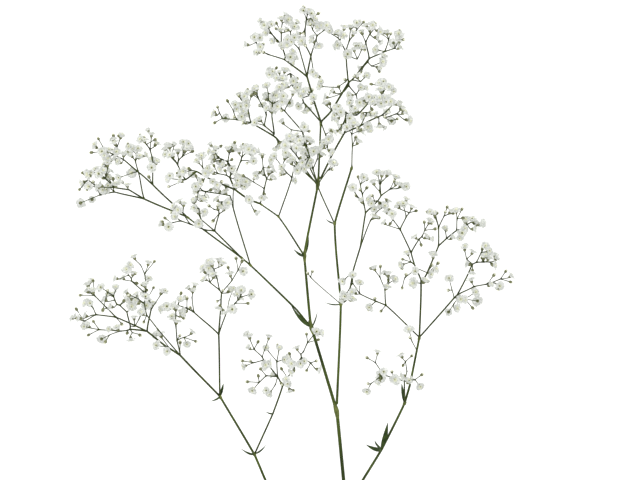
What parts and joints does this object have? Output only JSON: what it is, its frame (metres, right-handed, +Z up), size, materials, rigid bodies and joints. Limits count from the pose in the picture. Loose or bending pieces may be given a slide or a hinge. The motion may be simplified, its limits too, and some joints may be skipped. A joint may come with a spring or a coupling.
{
  "type": "gypsophila stem",
  "caption": "Cut stem of gypsophila lying on a table: thin forked green twigs spread flat, each ending in a small white bloom or bud.",
  "frame": {"origin": "centre of the bounding box in X and Y, at the table under the stem", "axes": "+Y from the cut end to the crown, +X to the right seen from above, +Z up from the table"},
  "size_m": [0.3328, 0.4958, 0.11],
  "materials": {
    "stem": "smooth green stem, slightly waxy",
    "bloom": "matt white petals on thin dark green twigs",
    "leaf": "smooth dark green blade"
  },
  "bodies": {
    "root": {"crown_back_spray": "bloom", "crown_front_spray": "bloom", "crown_left_spray": "bloom", "crown_low_spray": "bloom", "crown_peak_spray": "bloom", "crown_right_spray": "bloom", "crown_top_left_spray": "bloom", "crown_top_right_spray": "bloom", "leaf_collar_left": "leaf", "leaf_front_twig": "leaf", "leaf_low_inner_a": "leaf", "leaf_low_inner_b": "leaf", "leaf_low_left_a": "leaf", "leaf_low_left_b": "leaf", "leaf_low_right_a": "leaf", "leaf_low_right_b": "leaf", "leaf_low_right_c": "leaf", "leaf_lower_right": "leaf", "leaf_middle_left": "leaf", "leaf_middle_right": "leaf", "leaf_second_left": "leaf", "leaf_second_top": "leaf", "leaf_table": "leaf", "leaf_upper_left": "leaf", "leaf_upper_right": "leaf", "left_low_branch": "stem", "left_low_front_spray": "bloom", "left_low_inner_spray": "bloom", "left_low_outer_spray": "bloom", "main_stem": "stem", "middle_left_branch": "stem", "middle_left_spray": "bloom", "middle_near_spray": "bloom", "middle_right_spray": "bloom", "right_low_branch": "stem", "right_low_collar_spray": "bloom", "right_low_front_spray": "bloom", "right_low_left_spray": "bloom", "right_low_right_spray": "bloom", "right_low_top_spray": "bloom", "second_crossing_spray": "bloom", "second_left_twig": "stem", "second_right_spray": "bloom", "second_stem": "stem", "second_top_spray": "bloom", "upper_left_branch": "stem", "upper_left_low_twig": "bloom", "upper_left_middle_spray": "bloom", "upper_left_outer_spray": "bloom", "upper_left_upright_spray": "bloom"}
  },
  "joints": []
}
